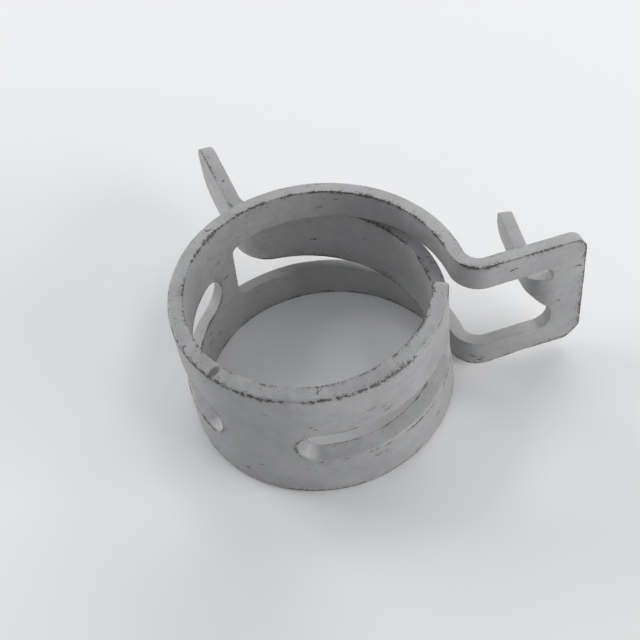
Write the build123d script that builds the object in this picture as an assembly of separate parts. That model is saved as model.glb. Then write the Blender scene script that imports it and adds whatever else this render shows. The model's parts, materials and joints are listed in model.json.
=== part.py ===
from build123d import *
import os
from math import cos, radians, sin

# Spring band hose clamp: one strip of spring steel, rolled into a ring whose two ends pass
# through each other. Each stretch of the strip is a node of its own, and neighbouring
# stretches meet face to face on a radial plane, where the band flexes.
#
# Frame: millimetres and degrees. +Z is the bore's axis, z = 0 is the lower edge of the band
# and the origin is on the axis. +X runs along the fork's end plate, and angles are measured
# anticlockwise from +X.

# Strip and ring, as the clamp stands when nothing squeezes it
width = 15.0
thick = 1.45
mid_radius = 12.0
end_rise = 0.4                    # both ends of the strip stand this far above mid-width
mid_width = width / 2
end_mid = mid_width + end_rise

# Where the band flexes, from the stiff middle out to each end
fork_flexures = (213.0, 177.0, 141.0, 104.0, 68.0, 32.0)
tongue_flexures = (245.0, 281.0, 317.0, 352.0, 384.0, 416.0)

# Slots beside the middle
left_slot_tip = 211.0
left_slot_bridge_tip = 127.0
left_slot_height = 4.4
right_slot_tip = 247.0
right_slot_shoulder_tip = 342.0
right_slot_height = 4.0
slot_mid = mid_width - 0.1

# Window between the two arms, and the fork at its end
arm_flare = thick                 # the arms spiral out by one thickness over a quarter turn
fork_root = 1.0                   # angle where the arms turn out into the fork
fork_bend = 2.25                  # mid-wall radius of that turn
window_end = 118.0
window_end_low = 4.3
window_end_high = 10.95
window_chamfer = 1.4
window_corner = 0.7
window_slope = 0.1                # how far its edges close in towards the chamfers
arm_lower_tops = (4.05, 3.75, 3.7)      # at the flexures at 104, 68 and 32 degrees
arm_upper_bases = (11.4, 11.65, 11.85)
plate_low = 0.9
plate_window_low = 3.65
plate_window_high = 12.15
plate_join = 18.9                 # the arms end here and the end plate begins
plate_window_end = 22.3
plate_end = 25.5
plate_corner = (1.3, 1.5)         # along the plate, and across it
plate_window_corner = 0.9

# Stop finger, pushed back out of the end plate towards the squeeze tab
finger_low = 7.1
finger_high = 9.75
finger_root = 22.5                # x where it starts to turn out of the plate
finger_bend = 1.4
finger_heading = 85.0
finger_length = 8.4               # straight, beyond the bend
finger_tip_corners = (1.3, 0.4)   # lower, and upper

# Shoulder, tongue and squeeze tab
shoulder_start = 340.3
shoulder_foot = (348.5, 4.3)      # angle, and half the width left there
tongue_half = (4.0, 3.75, 3.55, 3.4)    # at 352, 384 and 416 degrees, and at the bend
tongue_flare = 1.85
tongue_bend_start = 443.5
tongue_bend = 3.45
tab_heading = 95.5
tab_length = 9.5
tab_low = 3.85
tab_high = 11.35
tab_tip_corner = 2.5

reach = 2.6                       # how far a cutter runs each side of the wall
margin = 1.0                      # how far a cutter runs past the edge that it trims


def at(angle, radius, centre=(0.0, 0.0)):
    """Point at an angle and radius round a centre, in the plan view."""
    return (centre[0] + radius * cos(radians(angle)), centre[1] + radius * sin(radians(angle)))


def flared(angle, extra):
    """Arc that leaves the ring in tangent at an angle, with a radius larger by extra."""
    return (at(angle + 180, extra), mid_radius + extra)


ring = ((0.0, 0.0), mid_radius)
arms = flared(fork_flexures[3], arm_flare)
tongue = flared(tongue_flexures[3], tongue_flare)


def wall(arc, start, end, low=0.0, high=width):
    """A stretch of bent strip between two angles round an arc's centre."""
    centre, radius = arc
    inner, outer = radius - thick / 2, radius + thick / 2
    mid = (start + end) / 2
    outline = [
        ThreePointArc(at(start, outer, centre), at(mid, outer, centre), at(end, outer, centre)),
        Line(at(end, outer, centre), at(end, inner, centre)),
        ThreePointArc(at(end, inner, centre), at(mid, inner, centre), at(start, inner, centre)),
        Line(at(start, inner, centre), at(start, outer, centre)),
    ]
    return Pos(0, 0, low) * extrude(make_face(outline), high - low, dir=(0, 0, 1))


class Stretch:
    """Flat view of one stretch of wall, where outlines are drawn and pushed through it."""

    def __init__(self, arc, start, end):
        self.arc, self.start, self.end = arc, start, end
        self.mid = (start + end) / 2
        centre, self.radius = arc
        x, y = at(self.mid, self.radius, centre)
        tangent = (*at(self.mid + 90, 1.0), 0)
        outward = (*at(self.mid, 1.0), 0)
        self.plane = Plane(origin=(x, y, 0), x_dir=tangent, z_dir=outward)

    def x(self, angle):
        return self.radius * sin(radians(angle - self.mid))

    def solid(self, low=0.0, high=width):
        return wall(self.arc, self.start, self.end, low, high)

    def through(self, sketch):
        """The sketch's shape, right through the wall."""
        return extrude(self.plane * sketch, reach, both=True)

    def area(self, *corners):
        """Polygon through (angle, z) corners."""
        return make_face(Polyline([(self.x(a), z) for a, z in corners], close=True))

    def slot(self, open_angle, tip_angle, height):
        """Round-ended slot from the open side of the stretch to its tip."""
        side = 1 if tip_angle > open_angle else -1
        centre_x = self.x(tip_angle) - side * height / 2
        length = abs(centre_x - self.x(open_angle)) + margin
        bar = Pos(centre_x - side * length / 2, slot_mid) * Rectangle(length, height)
        return self.through(bar + Pos(centre_x, slot_mid) * Circle(height / 2))


def one_solid(shape):
    """The single solid that a boolean leaves."""
    found = shape.solids()
    if len(found) != 1:
        raise ValueError(f"expected one solid, got {len(found)}")
    return found[0]


def side_wedge(near, far, z_limit):
    """All that lies beyond a sloping line seen from the side, from z_limit up or down to the line.

    near and far are (y, z) ends of the line, and beyond far it runs on level.
    """
    (y_near, z_near), (y_far, z_far) = near, far
    y_past = y_far - 10 * margin
    points = [(y_near, z_near), (y_far, z_far), (y_past, z_far), (y_past, z_limit), (y_near, z_limit)]
    side = make_face(Polyline([(0, y, z) for y, z in points], close=True))
    return extrude(side, plate_end + margin, dir=(1, 0, 0))


# The ring from its middle to the bridge

def middle_and_slots():
    """The stiff middle, and the slotted stretches each side of it."""
    parts = {"band_middle": wall(ring, fork_flexures[0], tongue_flexures[0])}

    left = Stretch(ring, fork_flexures[1], fork_flexures[0])
    parts["left_slot_end"] = left.solid() - left.slot(left.start, left_slot_tip, left_slot_height)
    rails = Stretch(ring, fork_flexures[2], fork_flexures[1])
    parts["left_upper_rail"] = rails.solid(slot_mid + left_slot_height / 2, width)
    parts["left_lower_rail"] = rails.solid(0, slot_mid - left_slot_height / 2)

    right = Stretch(ring, tongue_flexures[0], tongue_flexures[1])
    parts["right_slot_end"] = right.solid() - right.slot(right.end, right_slot_tip, right_slot_height)
    rails = Stretch(ring, tongue_flexures[1], tongue_flexures[2])
    parts["right_upper_rail"] = rails.solid(slot_mid + right_slot_height / 2, width)
    parts["right_lower_rail"] = rails.solid(0, slot_mid - right_slot_height / 2)
    return parts


def bridge():
    """Narrow post between the left slot and the window."""
    post = Stretch(ring, fork_flexures[3], fork_flexures[2])
    slot = post.slot(post.end, left_slot_bridge_tip, left_slot_height)
    end_x = post.x(window_end)
    chamfer_x = end_x - window_chamfer
    open_x = post.x(post.start) - margin
    low, high = arm_lower_tops[0], arm_upper_bases[0]
    window = make_face(Polyline([
        (open_x, low),
        (chamfer_x, low + window_slope),
        (end_x, window_end_low + window_chamfer),
        (end_x, window_end_high - window_chamfer),
        (chamfer_x, high - window_slope),
        (open_x, high),
    ], close=True))
    window = fillet(window.vertices().filter_by(lambda v: v.X > open_x + margin / 2), window_corner)
    return {"bridge": post.solid() - slot - post.through(window)}


# The two arms, the fork and its finger

def arm_pair(names, outer, inner, step):
    """Upper and lower arm between two flexures, with their sloping inner edges."""
    span = Stretch(arms, outer, inner)
    past_inner, past_outer = inner + 3 * margin, outer - 3 * margin
    upper = span.area((past_inner, arm_upper_bases[step]), (past_outer, arm_upper_bases[step + 1]),
                      (past_outer, width + margin), (past_inner, width + margin))
    lower = span.area((past_inner, arm_lower_tops[step]), (past_outer, arm_lower_tops[step + 1]),
                      (past_outer, -margin), (past_inner, -margin))
    return {names[0]: span.solid() & span.through(upper), names[1]: span.solid() & span.through(lower)}


fork_bend_centre = at(fork_root, arms[1] + fork_bend, arms[0])
plate_y = fork_bend_centre[1] - fork_bend


def fork_arms():
    """The arms' outer ends: the last of their arc, the turn outwards and the run to the plate."""
    turn = wall((fork_bend_centre, fork_bend), 180 + fork_root, 270)
    start_x = fork_bend_centre[0]
    run = Pos((start_x + plate_join) / 2, plate_y, mid_width) * Box(plate_join - start_x, thick, width)
    strip = wall(arms, fork_root, fork_flexures[5]) + turn + run

    y_flexure = at(fork_flexures[5], arms[1] - thick / 2, arms[0])[1]
    y_past = y_flexure + 2 * margin
    y_plate = plate_y + thick / 2
    under_upper = side_wedge((y_past, arm_upper_bases[2]), (y_plate, plate_window_high), -5 * margin)
    over_lower = side_wedge((y_past, arm_lower_tops[2]), (y_plate, plate_window_low), width + 5 * margin)
    hem = side_wedge((y_flexure, 0.0), (y_plate, plate_low), -5 * margin)
    return {"upper_fork_arm": strip - under_upper, "lower_fork_arm": strip - over_lower - hem}


def through_plate(sketch):
    """A shape drawn in x and z, right through the end plate."""
    return Pos(0, plate_y, 0) * extrude(Plane.XZ * sketch, reach, both=True)


def fork_plate():
    """End plate, with the end of the window in it and a gap where the finger leaves it."""
    length = plate_end - plate_join
    height = width - plate_low
    plate = Pos(plate_join + length / 2, plate_y, plate_low + height / 2) * Box(length, thick, height)
    along, across = plate_corner
    for z, inward in ((plate_low, 1), (width, -1)):
        tip = Polyline([(plate_end, z), (plate_end - along, z), (plate_end, z + inward * across)], close=True)
        plate -= through_plate(make_face(tip))

    window_mid = (plate_window_low + plate_window_high) / 2
    window_height = plate_window_high - plate_window_low
    open_x = plate_join - 2 * margin
    window_length = plate_window_end - open_x
    window = RectangleRounded(window_length, window_height, plate_window_corner)
    plate -= through_plate(Pos(open_x + window_length / 2, window_mid) * window)

    finger_mid = (finger_low + finger_high) / 2
    gap_length = finger_root - plate_window_end + margin
    gap = Rectangle(gap_length, finger_high - finger_low)
    return {"fork_plate": plate - through_plate(Pos(finger_root - gap_length / 2, finger_mid) * gap)}


def stop_finger():
    """Finger turned back out of the plate, with its two tip corners rounded differently."""
    bend_centre = (finger_root, plate_y + finger_bend)
    bend_end = finger_heading + 90
    turn = wall((bend_centre, finger_bend), bend_end, 270, finger_low, finger_high)
    height = finger_high - finger_low
    run = Box(finger_length, thick, height, align=(Align.MIN, Align.CENTER, Align.MIN))
    lower_corner, upper_corner = finger_tip_corners
    lower_edge = run.edges().filter_by(Axis.Y).group_by(Axis.X)[-1].sort_by(Axis.Z)[0]
    run = fillet(lower_edge, lower_corner)
    upper_edge = run.edges().filter_by(Axis.Y).group_by(Axis.Z)[-1].sort_by(Axis.X)[-1]
    run = fillet(upper_edge, upper_corner)
    x, y = at(bend_end, finger_bend, bend_centre)
    return {"stop_finger": turn + Pos(x, y, finger_low) * Rot(0, 0, finger_heading) * run}


# The shoulder, the tongue and the squeeze tab

def shoulder():
    """End of the right slot, and the slopes where the band narrows to the tongue."""
    span = Stretch(ring, tongue_flexures[2], tongue_flexures[3])
    slot = span.slot(span.start, right_slot_shoulder_tip, right_slot_height)
    foot_angle, foot_half = shoulder_foot
    past_end = span.end + 2 * margin
    trimmed = span.solid() - slot
    for edge, side in ((width, 1), (0.0, -1)):
        foot = end_mid + side * foot_half
        root = end_mid + side * tongue_half[0]
        past_edge = edge + side * margin
        trimmed -= span.through(span.area(
            (shoulder_start, edge), (foot_angle, foot), (span.end, root), (past_end, root),
            (past_end, past_edge), (shoulder_start, past_edge)))
    return {"shoulder": trimmed}


def tongue_parts():
    """Three stretches of tongue, its bend and the squeeze tab."""
    parts = {}
    ends = (*tongue_flexures[3:], tongue_bend_start)
    for step, name in enumerate(("tongue_root", "tongue_middle", "tongue_end")):
        span = Stretch(tongue, ends[step], ends[step + 1])
        near, far = tongue_half[step], tongue_half[step + 1]
        x_start, x_end = span.x(span.start), span.x(span.end)
        widening = (near - far) / (x_end - x_start) * margin
        outline = make_face(Polyline([
            (x_start - margin, end_mid + near + widening),
            (x_end + margin, end_mid + far - widening),
            (x_end + margin, end_mid - far + widening),
            (x_start - margin, end_mid - near - widening),
        ], close=True))
        parts[name] = span.solid() & span.through(outline)

    low, high = end_mid - tongue_half[3], end_mid + tongue_half[3]
    centre, radius = tongue
    bend_centre = at(tongue_bend_start, radius + tongue_bend, centre)
    bend_from = tab_heading + 90
    bend_to = tongue_bend_start - 360 + 180
    parts["tongue_bend"] = wall((bend_centre, tongue_bend), bend_from, bend_to, low, high)

    root_x, root_y = at(bend_from, tongue_bend, bend_centre)
    tab = Box(tab_length, thick, tab_high - tab_low, align=(Align.MIN, Align.CENTER, Align.MIN))
    tip_edges = tab.edges().filter_by(Axis.Y).group_by(Axis.X)[-1]
    tab = fillet(tip_edges, tab_tip_corner)
    parts["squeeze_tab"] = Pos(root_x, root_y, tab_low) * Rot(0, 0, tab_heading) * tab
    return parts


def build():
    parts = {}
    parts.update(middle_and_slots())
    parts.update(bridge())
    parts.update(arm_pair(("upper_arm_back", "lower_arm_back"), fork_flexures[4], fork_flexures[3], 0))
    parts.update(arm_pair(("upper_arm_side", "lower_arm_side"), fork_flexures[5], fork_flexures[4], 1))
    parts.update(fork_arms())
    parts.update(fork_plate())
    parts.update(stop_finger())
    parts.update(shoulder())
    parts.update(tongue_parts())
    return {name: one_solid(shape) for name, shape in parts.items()}


os.makedirs("parts", exist_ok=True)
for node, shape in build().items():
    export_step(shape, f"parts/{node}.step")
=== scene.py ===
import json
from math import ceil, cos, degrees, hypot, pi, radians, sin, tan

import bpy
import numpy as np
from mathutils import Matrix, Quaternion, Vector, noise
from mathutils.geometry import delaunay_2d_cdt

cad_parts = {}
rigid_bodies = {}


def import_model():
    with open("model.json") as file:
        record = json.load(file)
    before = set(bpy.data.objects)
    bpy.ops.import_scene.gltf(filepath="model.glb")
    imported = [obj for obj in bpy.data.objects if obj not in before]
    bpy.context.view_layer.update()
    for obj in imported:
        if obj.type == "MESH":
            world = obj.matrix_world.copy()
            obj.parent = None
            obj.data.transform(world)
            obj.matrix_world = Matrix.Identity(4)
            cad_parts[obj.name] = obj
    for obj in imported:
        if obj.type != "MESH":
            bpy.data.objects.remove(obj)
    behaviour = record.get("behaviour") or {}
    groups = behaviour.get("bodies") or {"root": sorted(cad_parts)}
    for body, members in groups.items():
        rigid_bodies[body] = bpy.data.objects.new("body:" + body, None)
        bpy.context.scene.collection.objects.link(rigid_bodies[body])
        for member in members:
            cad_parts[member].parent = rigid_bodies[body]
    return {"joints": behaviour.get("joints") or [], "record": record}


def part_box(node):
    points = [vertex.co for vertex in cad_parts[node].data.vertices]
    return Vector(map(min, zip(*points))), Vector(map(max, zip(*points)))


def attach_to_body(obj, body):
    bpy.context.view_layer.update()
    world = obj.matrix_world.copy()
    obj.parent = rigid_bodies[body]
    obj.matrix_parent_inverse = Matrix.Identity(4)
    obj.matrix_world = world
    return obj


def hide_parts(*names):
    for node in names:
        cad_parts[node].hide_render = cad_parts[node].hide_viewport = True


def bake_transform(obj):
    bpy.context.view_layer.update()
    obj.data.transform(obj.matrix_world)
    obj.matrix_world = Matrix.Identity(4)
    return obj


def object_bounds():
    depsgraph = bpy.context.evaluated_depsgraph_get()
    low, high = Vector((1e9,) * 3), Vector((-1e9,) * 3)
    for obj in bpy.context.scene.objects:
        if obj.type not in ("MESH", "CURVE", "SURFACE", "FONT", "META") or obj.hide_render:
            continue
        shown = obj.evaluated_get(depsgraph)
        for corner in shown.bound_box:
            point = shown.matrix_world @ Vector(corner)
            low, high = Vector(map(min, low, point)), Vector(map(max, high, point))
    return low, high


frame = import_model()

cad_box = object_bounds()
noise.seed_set(5)                       # unseeded, noise_vector differs from run to run

# The clamp is one stamped strip, so its looks are made as one strip too: an outline is drawn
# flat, filled with a fine mesh, given the rounded edges of a stamping, and rolled up along the
# same line as the CAD model. It is then cut across into pieces that each reach over one joint or ride on one
# body.
#
# The flat strip is in millimetres: s runs along its mid-wall line, anticlockwise from the
# middle of the band, z is the height, and w goes through the wall, outwards from the bore.

MM = 0.001


def span_of(node, axis):
    """Lowest and highest value of a CAD node along an axis, in millimetres."""
    low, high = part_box(node)
    return low[axis] / MM, high[axis] / MM


# Sizes that the frame gives
X, Y, Z = 0, 1, 2
mount_dims = {m["name"]: m["dims"] for m in frame["record"]["mounts"]}
bore_radius = mount_dims["hose_bore"]["r_mm"]
plate_front, plate_back = span_of("fork_plate", Y)
plate_join, plate_end = span_of("fork_plate", X)
plate_low, width = span_of("fork_plate", Z)
finger_low, finger_high = span_of("stop_finger", Z)
bend_low, bend_high = span_of("tongue_bend", Z)
tab_low, tab_high = span_of("squeeze_tab", Z)

thick = plate_back - plate_front
half_wall = thick / 2
mid_radius = bore_radius + half_wall
plate_y = (plate_front + plate_back) / 2
tongue_mid = (bend_low + bend_high) / 2

# Shape of the centre line, and of the outline, where the frame doesn't hold them
arm_flare = thick
fork_root = 1.0
fork_bend = 2.25
tongue_flare = 1.85
tongue_bend_start = 443.5
tongue_bend = 3.45
tab_heading = 95.5
tab_length = 9.5
tab_tip_corner = 2.5
finger_root = 22.5                      # x where the finger starts to turn out of the plate
finger_bend = 1.4
finger_heading = 85.0
finger_length = 8.4
finger_tip_corners = (1.3, 0.45)        # lower, and upper

arm_leaves, tongue_leaves = 104.0, 352.0    # angles where they leave the ring
left_slot = ((127.0, 5.35, 9.85), (211.0, 5.0, 9.8))     # each end's angle, lower and upper edge
right_slot = ((247.0, 5.55, 9.25), (342.0, 4.9, 9.4))
window_end = 118.0
shoulder_start = 340.3
shoulder_foot = (348.5, 4.3)            # angle, and half the width left there
shoulder_foot_radius = 2.2
plate_window_low = 3.65
plate_window_high = 12.15
plate_window_end = 22.3
root_low, root_high = 6.45, 10.4        # the finger widens to these heights at its root
neck_low = finger_low + 0.7             # and it is narrowest between there and its tip
finger_cut = 20.2                       # x where the finger is parted from the plate
window_end_low, window_end_high = 4.25, 10.95
window_chamfer = 1.4
arm_edges = ((104, 4.05, 11.4), (68, 3.75, 11.65), (32, 3.7, 11.85))    # angle, and both arms' inner edge
tongue_halves = ((tongue_leaves, 4.0), (384, 3.75), (416, 3.55))   # angle, and half the width there

# How the edges were left by the press: rolled over outside, with a slight burr on the bore side
roll_over = 0.42
worn_inset = 0.25                       # outside, the coat is worn most this far in from the outline
edge_profile = (                        # inset from the outline, and w, from outside to inside
    (roll_over, half_wall),
    (0.27, half_wall - 0.02),
    (0.18, half_wall - 0.06),
    (0.12, half_wall - 0.13),
    (0.08, half_wall - 0.25),
    (0.02, -0.1),
    (-0.03, 0.12 - half_wall),
    (-0.02, 0.04 - half_wall),
    (0.03, 0.005 - half_wall),
    (roll_over, -half_wall),
)
loop_wear = (1.0, 0.7, 0.55, 0.2)       # how worn the edges are: outer edge, left slot, right slot, window
loop_draft = (0.0, 0.2, 0.45, 0.0)      # how far each wall leans into its opening on the bore side

# The rail under the right slot leans out towards the shoulder, most at the band's lower edge
lean_start, lean_end = 295.0, 343.0
lean_most = 0.36

grid_step = 0.42                        # mesh size on the broad faces
edge_step = 0.4
corner_step = 0.22


# Centre line

def at(angle, radius, centre=(0.0, 0.0)):
    return (centre[0] + radius * cos(radians(angle)), centre[1] + radius * sin(radians(angle)))


class Arc:
    """Arc of the centre line. turn is +1 where the strip curls round the bore, -1 where it turns out."""

    def __init__(self, centre, radius, start, end, turn=1):
        self.centre, self.radius, self.start, self.turn = centre, radius, start, turn
        self.length = radians(abs(end - start)) * radius
        self.sign = 1 if end > start else -1

    def place(self, along):
        angle = self.start + self.sign * degrees(along / self.radius)
        x, y = at(angle, self.radius, self.centre)
        nx, ny = at(angle, self.turn)
        return x, y, nx, ny


class Run:
    """Straight stretch of the centre line. side turns the heading into the outward normal."""

    def __init__(self, start, heading, length, side):
        self.start, self.heading, self.length, self.side = start, heading, length, side

    def place(self, along):
        x, y = at(self.heading, along, self.start)
        nx, ny = at(self.heading + 90 * self.side, 1.0)
        return x, y, nx, ny


band_mid = 229.0                        # middle of the stiff stretch, where s is 0
arm_radius = mid_radius + arm_flare
arm_centre = at(arm_leaves + 180, arm_flare)
tongue_radius = mid_radius + tongue_flare
tongue_centre = at(tongue_leaves + 180, tongue_flare)
fork_bend_centre = at(fork_root, arm_radius + fork_bend, arm_centre)
tongue_bend_centre = at(tongue_bend_start, tongue_radius + tongue_bend, tongue_centre)
tab_root = at(tab_heading + 90, tongue_bend, tongue_bend_centre)

to_fork = (
    Arc((0.0, 0.0), mid_radius, band_mid, arm_leaves),
    Arc(arm_centre, arm_radius, arm_leaves, fork_root),
    Arc(fork_bend_centre, fork_bend, 180 + fork_root, 270, turn=-1),
    Run((fork_bend_centre[0], plate_y), 0, plate_end - fork_bend_centre[0] + 1, side=1),
)
to_tab = (
    Arc((0.0, 0.0), mid_radius, band_mid, tongue_leaves),
    Arc(tongue_centre, tongue_radius, tongue_leaves, tongue_bend_start),
    Arc(tongue_bend_centre, tongue_bend, tongue_bend_start - 180, tab_heading + 90, turn=-1),
    Run(tab_root, tab_heading, tab_length + 1, side=-1),
)
finger_bend_centre = (finger_root, plate_y + finger_bend)
finger_line = (
    Arc(finger_bend_centre, finger_bend, 270, finger_heading + 90, turn=-1),
    Run(at(finger_heading + 90, finger_bend, finger_bend_centre), finger_heading, finger_length + 1, side=-1),
)


def follow(line, along):
    """Point and outward normal at a distance along one of the lines."""
    for part in line[:-1]:
        if along <= part.length:
            return part.place(along)
        along -= part.length
    return line[-1].place(along)


def s_fork(angle):
    """s at an angle on the fork's side: on the ring down to where the arms leave, then on them."""
    on_ring = mid_radius * radians(max(angle, arm_leaves) - band_mid)
    return on_ring + arm_radius * radians(min(angle, arm_leaves) - arm_leaves)


def s_tongue(angle):
    """s at an angle on the tongue's side: on the ring up to where the tongue leaves, then on it."""
    on_ring = mid_radius * radians(min(angle, tongue_leaves) - band_mid)
    return on_ring + tongue_radius * radians(max(angle, tongue_leaves) - tongue_leaves)


s_fork_turned = s_fork(fork_root) - fork_bend * radians(90 - fork_root)
s_bend = s_tongue(tongue_bend_start)
s_tab = s_bend + to_tab[2].length


def s_plate(x):
    return s_fork_turned - (x - fork_bend_centre[0])


s_finger_root = s_plate(finger_root)
finger_flat = finger_line[0].length + finger_length


# Outline

def fillet(corners):
    """Closed outline through (s, z, radius) corners, with each corner rounded."""
    points = []
    count = len(corners)
    for i, (s, z, radius) in enumerate(corners):
        here = Vector((s, z))
        back = Vector(corners[i - 1][:2]) - here
        ahead = Vector(corners[(i + 1) % count][:2]) - here
        opening = back.angle(ahead)
        if radius <= 0 or opening > pi - 0.01:
            points.append(here)
            continue
        reach = min(radius / tan(opening / 2), 0.49 * back.length, 0.49 * ahead.length)
        radius = reach * tan(opening / 2)
        centre = here + (back.normalized() + ahead.normalized()).normalized() * (radius / sin(opening / 2))
        first, last = here + back.normalized() * reach - centre, here + ahead.normalized() * reach - centre
        sweep = first.angle_signed(last)
        steps = max(3, ceil(abs(sweep) * radius / corner_step))
        for k in range(steps + 1):
            turned = Matrix.Rotation(-sweep * k / steps, 2) @ first
            points.append(centre + turned)
    return points


def strip_outline():
    """The strip's outer boundary, anticlockwise in (s, z)."""
    lower, upper = [], []
    for angle, half in (shoulder_foot, *tongue_halves):
        radius = shoulder_foot_radius if angle == shoulder_foot[0] else 0
        lower.append((s_tongue(angle), tongue_mid - half, radius))
        upper.append((s_tongue(angle), tongue_mid + half, radius))
    tip = s_tab + tab_length
    return [
        (s_plate(plate_end), plate_low + 1.5, 1.1),
        (s_plate(plate_end - 1.3), plate_low, 1.0),
        (s_plate(plate_join), plate_low, 3.0),
        (s_fork(32), 0.0, 4.0),
        (s_tongue(shoulder_start), 0.0, 0.45),
        *lower,
        (s_bend, bend_low, 0),
        (s_tab + 0.2, bend_low, 0.8),
        (s_tab + 1.4, tab_low, 1.5),
        (tip, tab_low, tab_tip_corner),
        (tip, tab_high, tab_tip_corner),
        (s_tab + 1.4, tab_high, 0),
        (s_bend, bend_high, 0),
        *reversed(upper),
        (s_tongue(shoulder_start), width, 0.45),
        (s_plate(plate_end - 0.14), width, 1.4),
    ]


def slot_outline(first, last):
    """Round-ended slot in the ring, as corners whose radius is half the height there."""
    corners = []
    for angle, start, end in ((first[0], *first[1:]), (last[0], *reversed(last[1:]))):
        s = mid_radius * radians(angle - band_mid)
        radius = abs(end - start) / 2
        corners += [(s, start, radius), (s, end, radius)]
    return corners


def window_outline():
    """The window between the arms, with the stop finger standing in it as it was cut."""
    tip = s_finger_root + finger_flat
    end = s_plate(plate_window_end)
    lower_tip, upper_tip = finger_tip_corners
    radii = (3.0, 0, 3.0)
    upper_arm = [(s_fork(angle), high, radius) for (angle, _, high), radius in zip(arm_edges, radii)]
    lower_arm = [(s_fork(angle), low, radius) for (angle, low, _), radius in zip(arm_edges, radii)]
    return [
        (s_fork(window_end), window_end_low, 1.25),
        (s_fork(window_end - window_chamfer), window_end_high, 0.7),
        *upper_arm,
        (s_plate(plate_join), plate_window_high, 3.0),
        (end, plate_window_high, 0.8),
        (end, root_high, 0.8),
        (end + 0.9, root_high, 0.5),
        (end + 1.6, finger_high, 0.5),
        (tip, finger_high, upper_tip),
        (tip, finger_low, lower_tip),
        (end + 3.6, finger_low, 2.0),
        (end + 1.3, neck_low, 0.8),
        (end, root_low, 0.3),
        (end, plate_window_low, 1.25),
        (s_plate(plate_join), plate_window_low, 3.0),
        *reversed(lower_arm),
    ]


# Cuts between the visible pieces, half-way along each stretch that moves as one
everywhere = ((-1.0, width + 1.0),)
beside_finger = ((-1.0, finger_low - 0.6), (finger_high + 0.6, width + 1.0))
finger_only = ((finger_low - 0.3, finger_high + 0.3),)
cuts = {
    "plate": (s_plate(plate_join), beside_finger),
    "finger": (s_plate(finger_cut), finger_only),
    "fork": (s_fork(50), everywhere),
    "arm_side": (s_fork(86), everywhere),
    "arm_back": (s_fork(122.5), everywhere),
    "left_rail": (s_fork(159), everywhere),
    "left_slot": (s_fork(195), everywhere),
    "middle": (0.0, everywhere),
    "right_slot": (s_tongue(263), everywhere),
    "right_rail": (s_tongue(299), everywhere),
    "shoulder": (s_tongue(331), everywhere),
    "tongue_root": (s_tongue(368), everywhere),
    "tongue_middle": (s_tongue(400), everywhere),
    "tongue_bend": (s_bend, everywhere),
    "tab": (s_tab, everywhere),
}


def in_finger(s, z):
    return finger_low - 0.3 < z < finger_high + 0.3 and s_finger_root < s < s_finger_root + finger_flat + 1


def divide(points, cut_at):
    """Splits a closed outline's long sides, first where a cut crosses them.

    Returns the points, and the name of the cut that each lies on, or None.
    """
    made, flags = [], []
    for i, here in enumerate(points):
        there = points[(i + 1) % len(points)]
        stops = [(0.0, None), (1.0, None)]
        for name, (s, spans) in cut_at.items():
            if (here.x - s) * (there.x - s) < 0:
                share = (s - here.x) / (there.x - here.x)
                z = here.y + share * (there.y - here.y)
                if any(low < z < high for low, high in spans):
                    stops.append((share, name))
        stops.sort(key=lambda stop: stop[0])
        length = (there - here).length
        for (a, name), (b, _) in zip(stops, stops[1:]):
            steps = max(1, round((b - a) * length / edge_step))
            for k in range(steps):
                made.append(here.lerp(there, a + (b - a) * k / steps))
                flags.append(name if k == 0 else None)
    keep = []
    for i, point in enumerate(made):
        near_cut = any(flags[j % len(made)] and (made[j % len(made)] - point).length < 0.1
                       for j in (i - 1, i + 1))
        if flags[i] or not near_cut:
            keep.append(i)
    return [made[i] for i in keep], [flags[i] for i in keep]


def roughen(points, flags):
    """Small unevenness of a sheared edge. Points on cuts only move along the cut."""
    made = []
    for (s, z), flag in zip(points, flags):
        push = noise.noise_vector(Vector((s * 0.8, z * 0.8, 3.0))) * 0.035
        push += noise.noise_vector(Vector((s * 2.9, z * 2.9, 9.0))) * 0.012
        made.append(Vector((s if flag else s + push.x, z + push.y)))
    return made


def inward(points, flags, side):
    """Direction that insets each point of a loop by one unit, into the metal."""
    made = []
    count = len(points)
    for i, here in enumerate(points):
        back = (here - points[i - 1]).normalized()
        ahead = (points[(i + 1) % count] - here).normalized()
        normals = [Vector((-d.y, d.x)) * side for d in (back, ahead)]
        middle = (normals[0] + normals[1]).normalized()
        if flags[i]:
            made.append(Vector((0.0, 1.0 / middle.y)))
        else:
            made.append(middle / max(0.5, middle.dot(normals[0])))
    return made


class Loop:
    """Closed edge of the metal, as points. flags names the cut that a point lies on."""

    def __init__(self, corners):
        points, self.flags = divide(fillet(corners), cuts)
        self.points = roughen(points, self.flags)

    def turn_inward(self, is_outer):
        """Finds which side of the edge the metal is on, and the outline inset into it."""
        ahead = self.points[1:] + self.points[:1]
        area = sum(a.x * b.y - b.x * a.y for a, b in zip(self.points, ahead))
        self.side = 1 if (area > 0) == is_outer else -1
        self.inward = inward(self.points, self.flags, self.side)
        self.inset = [p + n * roll_over for p, n in zip(self.points, self.inward)]


def inside(loops, points):
    """Which of the points lie in the metal, by counting the crossings of every loop."""
    points = np.array(points, float)
    crossings = np.zeros(len(points), int)
    for loop in loops:
        for i, a in enumerate(loop):
            b = loop[(i + 1) % len(loop)]
            if a.y == b.y:
                continue
            between = (points[:, 1] >= min(a.y, b.y)) & (points[:, 1] < max(a.y, b.y))
            s_cross = a.x + (points[:, 1] - a.y) * (b.x - a.x) / (b.y - a.y)
            crossings += between & (points[:, 0] < s_cross)
    return crossings % 2 == 1


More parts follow.
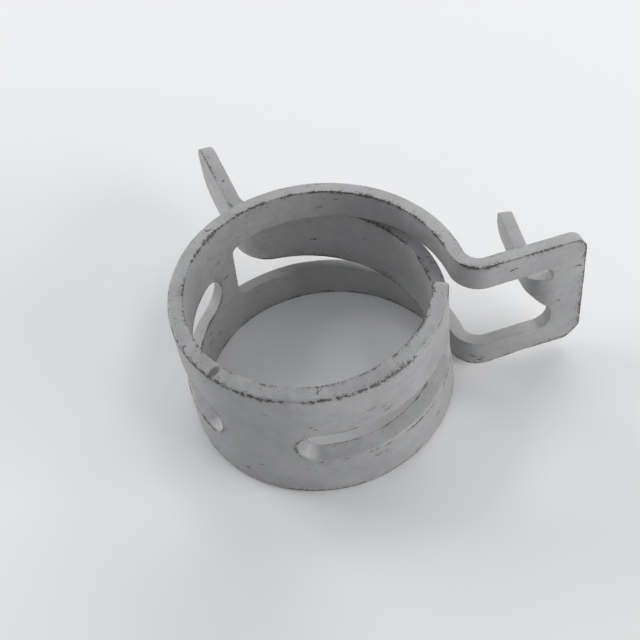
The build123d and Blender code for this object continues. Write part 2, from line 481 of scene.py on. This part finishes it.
def edge_distances(points, loops):
    """Distance from each point to the nearest side of each loop, one row for each loop."""
    points = np.array(points, float)
    nearest = np.full((len(loops), len(points)), 1e9)
    for row, loop in zip(nearest, loops):
        for i, a in enumerate(loop):
            b = loop[(i + 1) % len(loop)]
            a2, d = np.array(a), np.array(b - a)
            share = np.clip(((points - a2) @ d) / max(d @ d, 1e-12), 0, 1)
            np.minimum(row, np.linalg.norm(points - a2 - share[:, None] * d, axis=1), out=row)
    return nearest


def grid(loops):
    """Staggered mesh points all over the metal, clear of edges and cuts."""
    every = np.array([p for loop in loops for p in loop])
    low, high = every.min(0), every.max(0)
    row_step = grid_step * sin(pi / 3)
    rows = np.arange(low[1], high[1], row_step)
    found = []
    for k, z in enumerate(rows):
        columns = np.arange(low[0] + (k % 2) * grid_step / 2, high[0], grid_step)
        found += [(s, z) for s in columns]
    found = np.array(found)
    found = found[inside(loops, found)]
    found = found[edge_distances(found, loops).min(0) > 0.62 * grid_step]
    for s, spans in cuts.values():
        on_cut = np.abs(found[:, 0] - s) < 0.4 * grid_step
        in_span = np.zeros(len(found), bool)
        for low_z, high_z in spans:
            in_span |= (found[:, 1] > low_z) & (found[:, 1] < high_z)
        found = found[~(on_cut & in_span)]
    return [Vector(p) for p in found]


# Mesh of the whole strip

bend_full, bend_fades = 0.3, 1.5        # the metal turns with the finger this far beyond its sides


def bend_share(s, z):
    """How far a point has turned out of the plate with the finger."""
    if not 0 < s - s_finger_root < finger_flat + 1:
        return 0.0
    beyond = max(finger_low - z, z - finger_high)
    share = min(1.0, max(0.0, (bend_fades - beyond) / (bend_fades - bend_full)))
    return share * share * (3 - 2 * share)


def unevenness(s, z, w):
    """Soft waviness of each broad face, in millimetres."""
    layer = 20.0 if w > 0 else 60.0
    broad = noise.noise(Vector((s * 0.28, z * 0.28, layer)))
    fine = noise.noise(Vector((s * 1.1, z * 1.1, layer + 7)))
    return broad * 0.022 + fine * 0.006


def lean(s, z):
    """How far the rail under the right slot stands out."""
    along = (s - s_tongue(lean_start)) / (s_tongue(lean_end) - s_tongue(lean_start))
    down = 1 - z / right_slot[1][1]
    return lean_most * max(0.0, min(1.0, along)) * max(0.0, down)


def place(s, z, w):
    """Where a point of the flat strip lies on the rolled clamp, in metres."""
    at_line = np.array(follow(to_tab, s) if s > 0 else follow(to_fork, -s))
    share = bend_share(s, z)
    if share > 0:
        at_line += share * (np.array(follow(finger_line, s - s_finger_root)) - at_line)
    x, y, nx, ny = at_line
    if abs(w) > 0.01:
        w += unevenness(s, z, w) * abs(w) / half_wall
    w += lean(s, z)
    return Vector(((x + nx * w) * MM, (y + ny * w) * MM, z * MM))


class Strip:
    """Vertices, faces and face places of the whole strip, before it is cut into pieces."""

    def __init__(self):
        outlines = (strip_outline(), slot_outline(*left_slot), slot_outline(*right_slot), window_outline())
        self.loops = [Loop(corners) for corners in outlines]
        for k, loop in enumerate(self.loops):
            loop.turn_inward(k == 0)
        self.flat, self.arris, self.wear = [], [], []
        self.faces, self.where = [], []
        self.fill()
        self.build_walls()
        self.finish()

    def cut_lines(self, index_of):
        """Straight lines of points across the metal at every cut, as edges for the fill."""
        extra, edges, lines = [], [], []
        for name, (s, _) in cuts.items():
            ends = []
            for k, loop in enumerate(self.loops):
                for i, flag in enumerate(loop.flags):
                    if flag == name:
                        ends.append((loop.inset[i].y, index_of[k][i]))
            ends.sort()
            for (z0, first), (z1, last) in zip(ends[::2], ends[1::2]):
                steps = max(1, round((z1 - z0) / grid_step))
                line = [first]
                for k in range(1, steps):
                    extra.append(Vector((s, z0 + (z1 - z0) * k / steps)))
                    line.append(("extra", len(extra) - 1))
                line.append(last)
                lines.append((name, line))
                edges += list(zip(line, line[1:]))
        return extra, edges, lines

    def fill(self):
        """Triangles of the broad faces, and the cut lines' points."""
        points, edges, index_of = [], [], []
        for loop in self.loops:
            first = len(points)
            count = len(loop.inset)
            index_of.append([first + i for i in range(count)])
            points += loop.inset
            edges += [(first + i, first + (i + 1) % count) for i in range(count)]
        extra, cut_edges, lines = self.cut_lines(index_of)
        base = len(points)

        def number(v):
            return base + v[1] if isinstance(v, tuple) else v

        points += extra
        edges += [(number(a), number(b)) for a, b in cut_edges]
        insets = [loop.inset for loop in self.loops]
        points += grid(insets)
        verts, _, tris, origins, _, _ = delaunay_2d_cdt(points, edges, [], 0, 1e-6, True)
        centres = [sum((verts[i] for i in tri), Vector((0, 0))) / 3 for tri in tris]
        kept = inside(insets, centres)
        self.tris = [tri for tri, keep in zip(tris, kept) if keep]
        new_index = {old: i for i, olds in enumerate(origins) for old in olds}
        self.skin = verts
        self.loop_skin = [[new_index[i] for i in ids] for ids in index_of]
        self.lines = [(name, [new_index[number(v)] for v in line]) for name, line in lines]

    def build_walls(self):
        """Both broad faces, and the rounded edge that joins them round every loop."""
        count = len(self.skin)
        distances = edge_distances(self.skin, [loop.points for loop in self.loops])
        for w, worn_at in ((half_wall, worn_inset), (-half_wall, 0.0)):
            self.flat += [(p.x, p.y, w) for p in self.skin]
            self.arris += list(np.abs(distances.min(0) - worn_at))
            self.wear += [loop_wear[k] for k in distances.argmin(0)]
        for a, b, c in self.tris:
            middle = (self.skin[a] + self.skin[b] + self.skin[c]) / 3
            self.faces += [(a, b, c), (c + count, b + count, a + count)]
            self.where += [middle, middle]
        self.rings = []
        for loop, skin_ids, wear, draft in zip(self.loops, self.loop_skin, loop_wear, loop_draft):
            rings = [list(skin_ids)]
            for inset, w in edge_profile[1:-1]:
                first = len(self.flat)
                worn_at = worn_inset if w > 0 else 0.0
                for p, n in zip(loop.points, loop.inward):
                    q = p + n * (inset - draft * (half_wall - w) / thick)
                    self.flat.append((q.x, q.y, w))
                    self.arris.append(abs(inset - worn_at) + half_wall - abs(w))
                    self.wear.append(wear)
                rings.append(list(range(first, len(self.flat))))
            rings.append([i + count for i in skin_ids])
            self.rings.append(rings)
            size = len(skin_ids)
            for upper, lower in zip(rings, rings[1:]):
                for i in range(size):
                    j = (i + 1) % size
                    quad = (upper[i], lower[i], lower[j], upper[j])
                    self.faces.append(quad if loop.side > 0 else quad[::-1])
                    self.where.append((loop.points[i] + loop.points[j]) / 2)

    def finish(self):
        """Rolls the flat points up, and gives each vertex its smooth normal."""
        self.co = np.array([place(*p) for p in self.flat])
        normals = np.zeros_like(self.co)
        for face in self.faces:
            a, b, c = (self.co[i] for i in face[:3])
            normal = np.cross(b - a, c - a)
            if len(face) == 4:
                normal = np.cross(c - a, self.co[face[3]] - b)
            for i in face:
                normals[i] += normal
        self.normals = normals / np.maximum(np.linalg.norm(normals, axis=1), 1e-15)[:, None]

    def caps(self, name, spans, ahead):
        """Faces that close a piece at a cut. ahead is +1 at the piece's high-s end, -1 at its low end."""
        count = len(self.skin)
        faces = []
        for cut, line in self.lines:
            if cut != name or not any(low <= self.skin[line[0]].y <= high for low, high in spans):
                continue
            for a, b in zip(line, line[1:]):
                faces.append((a, a + count, b + count, b))
            for end in (line[0], line[-1]):
                for rings in self.rings:
                    if end in rings[0]:
                        i = rings[0].index(end)
                        edge = [ring[i] for ring in rings]
                        faces.append(tuple(edge) if end == line[-1] else tuple(reversed(edge)))
        if ahead < 0:
            faces = [face[::-1] for face in faces]
        return faces


# Pieces: name, the cuts that bound it (low s first), which side of a slot it is on, the bodies
# that it spans or rides on, and the CAD nodes that it stands for
mid_z = width / 2
lower_side, upper_side, both_sides = (-1.0, mid_z), (mid_z, width + 1.0), (-1.0, width + 1.0)
pieces = (
    ("coated_fork_plate", (None, "plate"), both_sides, ("fork",), ("fork_plate",)),
    ("coated_stop_finger", ("finger", None), both_sides, ("fork",), ("stop_finger",)),
    ("coated_upper_fork_arm", ("plate", "fork"), upper_side, ("fork", "arms_side"),
     ("upper_fork_arm", "upper_arm_side")),
    ("coated_lower_fork_arm", ("plate", "fork"), lower_side, ("fork", "arms_side"),
     ("lower_fork_arm", "lower_arm_side")),
    ("coated_upper_arm", ("fork", "arm_side"), upper_side, ("arms_side", "arms_back"),
     ("upper_arm_side", "upper_arm_back")),
    ("coated_lower_arm", ("fork", "arm_side"), lower_side, ("arms_side", "arms_back"),
     ("lower_arm_side", "lower_arm_back")),
    ("coated_bridge_and_arms", ("arm_side", "arm_back"), both_sides, ("arms_back", "bridge"),
     ("upper_arm_back", "lower_arm_back", "bridge")),
    ("coated_bridge", ("arm_back", "left_rail"), both_sides, ("bridge", "left_rails"),
     ("bridge", "left_upper_rail", "left_lower_rail")),
    ("coated_left_upper_rail", ("left_rail", "left_slot"), upper_side, ("left_rails", "left_slot_end"),
     ("left_upper_rail", "left_slot_end")),
    ("coated_left_lower_rail", ("left_rail", "left_slot"), lower_side, ("left_rails", "left_slot_end"),
     ("left_lower_rail", "left_slot_end")),
    ("coated_left_of_middle", ("left_slot", "middle"), both_sides, ("left_slot_end", "band_middle"),
     ("left_slot_end", "band_middle")),
    ("coated_right_of_middle", ("middle", "right_slot"), both_sides, ("band_middle", "right_slot_end"),
     ("band_middle", "right_slot_end")),
    ("coated_right_upper_rail", ("right_slot", "right_rail"), upper_side, ("right_slot_end", "right_rails"),
     ("right_slot_end", "right_upper_rail")),
    ("coated_right_lower_rail", ("right_slot", "right_rail"), lower_side, ("right_slot_end", "right_rails"),
     ("right_slot_end", "right_lower_rail")),
    ("coated_upper_shoulder_rail", ("right_rail", "shoulder"), upper_side, ("right_rails", "shoulder"),
     ("right_upper_rail", "shoulder")),
    ("coated_lower_shoulder_rail", ("right_rail", "shoulder"), lower_side, ("right_rails", "shoulder"),
     ("right_lower_rail", "shoulder")),
    ("coated_shoulder", ("shoulder", "tongue_root"), both_sides, ("shoulder", "tongue_root"),
     ("shoulder", "tongue_root")),
    ("coated_tongue_root", ("tongue_root", "tongue_middle"), both_sides, ("tongue_root", "tongue_middle"),
     ("tongue_root", "tongue_middle")),
    ("coated_tongue_end", ("tongue_middle", "tongue_bend"), both_sides, ("tongue_middle", "tongue_tab"),
     ("tongue_middle", "tongue_end")),
    ("coated_tongue_bend", ("tongue_bend", "tab"), both_sides, ("tongue_tab",), ("tongue_bend",)),
    ("coated_squeeze_tab", ("tab", None), both_sides, ("tongue_tab",), ("squeeze_tab",)),
)
blend_margin = 0.35                     # the reach round a piece's hinge stops this far short of its cuts
longest_blend = 8.4


def belongs(middle, low_s, high_s, side, is_finger):
    on_finger = in_finger(middle.x, middle.y) and middle.x > cuts["finger"][0]
    if is_finger or on_finger:
        return is_finger and on_finger
    return low_s < middle.x < high_s and side[0] < middle.y < side[1]


def make_piece(strip, name, ends, side, material):
    """One closed piece of the strip, between two cuts."""
    low_s = cuts[ends[0]][0] if ends[0] else -1e9
    high_s = cuts[ends[1]][0] if ends[1] else 1e9
    is_finger = ends[0] == "finger"
    faces = [face for face, middle in zip(strip.faces, strip.where)
             if belongs(middle, low_s, high_s, side, is_finger)]
    smooth_count = len(faces)
    if ends[0]:
        faces += strip.caps(ends[0], [side], -1)
    if ends[1]:
        faces += strip.caps(ends[1], [side], 1)
    if name == "coated_fork_plate":
        faces += strip.caps("finger", [side], 1)
    used = sorted({i for face in faces for i in face})
    renumber = {old: new for new, old in enumerate(used)}
    mesh = bpy.data.meshes.new(name)
    mesh.from_pydata([strip.co[i] for i in used], [], [[renumber[i] for i in face] for face in faces])
    mesh.shade_smooth()
    flat = mesh.attributes.new("flat", "FLOAT_VECTOR", "POINT")
    flat.data.foreach_set("vector", np.array([strip.flat[i] for i in used], np.float32).ravel())
    for layer, values in (("arris", strip.arris), ("wear", strip.wear)):
        attribute = mesh.attributes.new(layer, "FLOAT", "POINT")
        attribute.data.foreach_set("value", np.array([values[i] for i in used], np.float32))
    normals = []
    for k, polygon in enumerate(mesh.polygons):
        for i in polygon.vertices:
            normals.append(strip.normals[used[i]] if k < smooth_count else polygon.normal)
    cap_edges = {key for polygon in mesh.polygons[smooth_count:] for key in polygon.edge_keys}
    for edge in mesh.edges:
        edge.use_edge_sharp = edge.key in cap_edges
    mesh.normals_split_custom_set(normals)
    mesh.materials.append(material)
    piece = bpy.data.objects.new(name, mesh)
    bpy.context.scene.collection.objects.link(piece)
    return piece


def joint_s(bodies):
    """s of the hinge between two bodies."""
    joint = next(j for j in frame["joints"] if {j["parent"], j["child"]} == set(bodies))
    x, y = joint["pos_m"][0] / MM, joint["pos_m"][1] / MM
    best = None
    for line, sign in ((to_fork, -1), (to_tab, 1)):
        for along in np.arange(0, 62, 0.1):
            px, py, nx, ny = follow(line, along)
            off = hypot(px + nx * half_wall - x, py + ny * half_wall - y)
            if best is None or off < best[0]:
                best = (off, sign * along)
    return best[1]


def attach(piece, ends, bodies, nodes):
    """Puts a piece on its body; a piece that spans two bodies is left where it lies, on no body."""
    if len(bodies) == 1:
        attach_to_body(piece, bodies[0])
    else:
        low_s, high_s = cuts[ends[0]][0], cuts[ends[1]][0]
        hinge = joint_s(bodies)
        reach = min(hinge - low_s, high_s - hinge, longest_blend) - blend_margin
        start, end = place(hinge - reach, mid_z, 0), place(hinge + reach, mid_z, 0)
        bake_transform(piece)
    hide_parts(*nodes)


# Material

class Nodes:
    """Short helpers for building a node tree."""

    def __init__(self, tree):
        self.tree = tree

    def new(self, kind, **inputs):
        node = self.tree.nodes.new(kind)
        for key, value in inputs.items():
            self.put(node, key, value)
        return node

    def put(self, node, key, value):
        socket = node.inputs[key] if isinstance(key, int) else node.inputs[key.replace("_", " ")]
        if isinstance(value, bpy.types.NodeSocket):
            self.tree.links.new(value, socket)
        else:
            socket.default_value = value

    def attribute(self, name, output):
        node = self.tree.nodes.new("ShaderNodeAttribute")
        node.attribute_name = name
        return node.outputs[output]

    def math(self, operation, a, b):
        node = self.tree.nodes.new("ShaderNodeMath")
        node.operation = operation
        self.put(node, 0, a)
        self.put(node, 1, b)
        return node.outputs[0]

    def vector(self, operation, a, b):
        node = self.tree.nodes.new("ShaderNodeVectorMath")
        node.operation = operation
        self.put(node, 0, a)
        self.put(node, 1, b)
        return node.outputs["Value" if operation == "LENGTH" else "Vector"]

    def noise(self, vector, scale, detail=2.0, roughness=0.5, distortion=0.0):
        node = self.new("ShaderNodeTexNoise", Scale=scale, Detail=detail, Roughness=roughness,
                        Distortion=distortion)
        self.put(node, "Vector", vector)
        return node.outputs["Fac"]

    def spot(self, vector, mark):
        """1 in the middle of a mark, fading to 0 at its rim."""
        s, z, w, size_s, size_z, size_w = mark
        local = self.vector("SUBTRACT", vector, (s, z, w))
        local = self.vector("MULTIPLY", local, (1 / size_s, 1 / size_z, 1 / size_w))
        return self.fade(self.vector("LENGTH", local, (0, 0, 0)), 0.55, 1.15, 1.0, 0.0)

    def fade(self, value, low, high, bottom=0.0, top=1.0):
        """Smooth step from bottom to top as value goes from low to high."""
        node = self.new("ShaderNodeMapRange")
        node.interpolation_type = "SMOOTHSTEP"
        for key, setting in (("Value", value), ("From Min", low), ("From Max", high),
                             ("To Min", bottom), ("To Max", top)):
            self.put(node, key, setting)
        return node.outputs["Result"]

    def mix(self, share, a, b):
        node = self.tree.nodes.new("ShaderNodeMix")
        node.data_type = "RGBA"
        self.put(node, 0, share)
        self.put(node, 6, a)
        self.put(node, 7, b)
        return node.outputs[2]


# Where the coat is rubbed through: s, z and w, then the size along each
worn_oval = (s_fork(212.2), width, 0.1, 0.42, 0.5, 0.72)  # rubbed right across the top edge


def coat_material():
    """Matt zinc-flake coat: mottled light grey, worn dark along the edges, with chips and scuffs."""
    material = bpy.data.materials.new("zinc_flake_coat_finish")
    material.use_nodes = True
    tree = material.node_tree
    n = Nodes(tree)
    shader = tree.nodes["Principled BSDF"]
    at_point = n.attribute("flat", "Vector")
    arris, wear = n.attribute("arris", "Fac"), n.attribute("wear", "Fac")

    cloud = n.noise(at_point, 0.22, 3.0)
    mottle = n.noise(at_point, 1.1, 4.0, 0.6)
    grain = n.noise(at_point, 7.0, 3.0, 0.6)
    tone = n.math("ADD", n.math("MULTIPLY", cloud, 0.35), n.math("MULTIPLY", mottle, 0.35))
    tone = n.math("ADD", tone, n.math("MULTIPLY", grain, 0.30))
    tone = n.fade(tone, 0.36, 0.64)
    coat = n.mix(tone, (0.33, 0.33, 0.333, 1), (0.435, 0.435, 0.438, 1))
    stain = n.fade(n.noise(at_point, 0.45, 3.0, 0.6, 0.4), 0.50, 0.74, 0.0, 0.45)
    coat = n.mix(stain, coat, (0.345, 0.350, 0.335, 1))

    # Edges: the coat is thin there, in a broken dark line with specks beside it
    ragged = n.noise(at_point, 2.8, 6.0, 0.75, 0.2)
    patchy = n.math("MULTIPLY", n.fade(n.noise(at_point, 0.4, 2.0), 0.35, 0.62, 0.3, 1.0), wear)
    reach = n.math("MULTIPLY", patchy, n.fade(ragged, 0.38, 0.62, 0.0, 0.6))
    worn = n.math("SUBTRACT", 1.0, n.math("DIVIDE", arris, n.math("ADD", reach, 0.001)))
    worn = n.math("MULTIPLY", n.fade(worn, 0.0, 0.7), n.fade(patchy, 0.1, 0.7, 0.35, 1.0))
    near_edge = n.math("MULTIPLY", n.fade(arris, 0.1, 1.5, 0.15, 0.0), patchy)
    specks = n.math("ADD", n.noise(at_point, 3.2, 6.0, 0.75, 0.3), near_edge)
    specks = n.fade(specks, 0.665, 0.735)
    dust = n.fade(n.noise(at_point, 3.4, 2.0, 0.5), 0.70, 0.76)

    # Chips, where the strip was handled: small, longer along the strip than across it
    stretched = n.vector("MULTIPLY", at_point, (0.6, 1.7, 0.6))
    chips = n.fade(n.noise(stretched, 0.8, 5.0, 0.6, 0.3), 0.655, 0.69)

    dark = n.math("MAXIMUM", n.math("MULTIPLY", worn, 0.95), n.math("MULTIPLY", chips, 0.85))
    dark = n.math("MAXIMUM", dark, n.math("MULTIPLY", specks, 0.6))
    dark = n.math("MAXIMUM", dark, n.math("MULTIPLY", dust, 0.30))
    steel = n.mix(grain, (0.045, 0.043, 0.040, 1), (0.10, 0.098, 0.092, 1))
    rubbed = n.spot(at_point, worn_oval)
    coat = n.mix(rubbed, coat, (0.145, 0.150, 0.135, 1))
    n.put(shader, "Base Color", n.mix(dark, coat, steel))

    rough = n.math("ADD", n.fade(mottle, 0.3, 0.7, 0.50, 0.64), n.math("MULTIPLY", dark, -0.10))
    n.put(shader, "Roughness", rough)
    shader.inputs["Metallic"].default_value = 0.2
    shader.inputs["Specular IOR Level"].default_value = 0.35

    height = n.math("ADD", n.math("MULTIPLY", n.noise(at_point, 9.0, 4.0, 0.65), 0.5),
                    n.math("MULTIPLY", n.noise(at_point, 2.0, 2.0), 0.8))
    height = n.math("SUBTRACT", height, n.math("MULTIPLY", dark, 0.9))
    bump = n.new("ShaderNodeBump", Strength=0.35, Distance=0.00004)
    n.put(bump, "Height", height)
    n.put(shader, "Normal", bump.outputs["Normal"])
    return material


# Stage

def make_floor():
    """Large pale floor that the clamp stands on."""
    size, low = 3.0, cad_box[0].z
    mesh = bpy.data.meshes.new("floor")
    corners = [(-size, -size, low), (size, -size, low), (size, size, low), (-size, size, low)]
    mesh.from_pydata(corners, [], [(0, 1, 2, 3)])
    floor = bpy.data.objects.new("floor", mesh)
    bpy.context.scene.collection.objects.link(floor)
    material = bpy.data.materials.new("pale_floor")
    material.use_nodes = True
    shader = material.node_tree.nodes["Principled BSDF"]
    shader.inputs["Base Color"].default_value = (0.93, 0.93, 0.93, 1)
    shader.inputs["Roughness"].default_value = 0.9
    shader.inputs["Specular IOR Level"].default_value = 0.1
    mesh.materials.append(material)


lamp_distance, lamp_size = 0.45, 0.25


def soft_light(name, direction, power, distance=lamp_distance, size=lamp_size):
    """Square lamp that looks at the clamp's middle from a direction."""
    lamp = bpy.data.lights.new(name, "AREA")
    lamp.size = size
    lamp.energy = power
    light = bpy.data.objects.new(name, lamp)
    middle = (cad_box[0] + cad_box[1]) / 2
    towards = Vector(direction).normalized()
    light.location = middle + towards * distance
    light.rotation_mode = "QUATERNION"
    light.rotation_quaternion = towards.to_track_quat("Z", "Y")
    bpy.context.scene.collection.objects.link(light)


def light_stage():
    world = bpy.context.scene.world or bpy.data.worlds.new("studio")
    bpy.context.scene.world = world
    world.use_nodes = True
    background = world.node_tree.nodes["Background"]
    background.inputs["Color"].default_value = (0.95, 0.97, 1.0, 1)
    background.inputs["Strength"].default_value = 0.35
    soft_light("behind", (0.2, 1.0, 0.45), 0.38)
    soft_light("behind_on_the_left", (-0.8, 0.8, 0.35), 1.15)
    soft_light("behind_on_the_right", (0.8, 0.8, 0.6), 0.63)
    soft_light("in_front_on_the_right", (0.8, -0.7, 0.4), 0.49, distance=0.3, size=0.2)
    view = bpy.context.scene.view_settings
    view.view_transform = "Standard"
    view.exposure = 0.0


def make_camera():
    """Camera from the front, high up and a little to the left, rolled slightly."""
    target = Vector((0.99, 1.57, 7.5)) * MM
    distance = 112.5 * MM
    azimuth, elevation, roll = radians(-10.07), radians(51.2), radians(-8.68)
    back = Vector((sin(azimuth) * cos(elevation), -cos(azimuth) * cos(elevation), sin(elevation)))
    data = bpy.data.cameras.new("camera")
    data.sensor_width = 36.0
    data.lens = 66.1
    data.clip_start = 0.01
    camera = bpy.data.objects.new("camera", data)
    camera.location = target + back * distance
    camera.rotation_mode = "QUATERNION"
    camera.rotation_quaternion = (-back).to_track_quat("-Z", "Y") @ Quaternion((0, 0, 1), roll)
    bpy.context.scene.collection.objects.link(camera)
    bpy.context.scene.camera = camera


make_floor()
light_stage()
make_camera()
coat = coat_material()
strip = Strip()
for name, ends, side, bodies, nodes in pieces:
    attach(make_piece(strip, name, ends, side, coat), ends, bodies, nodes)
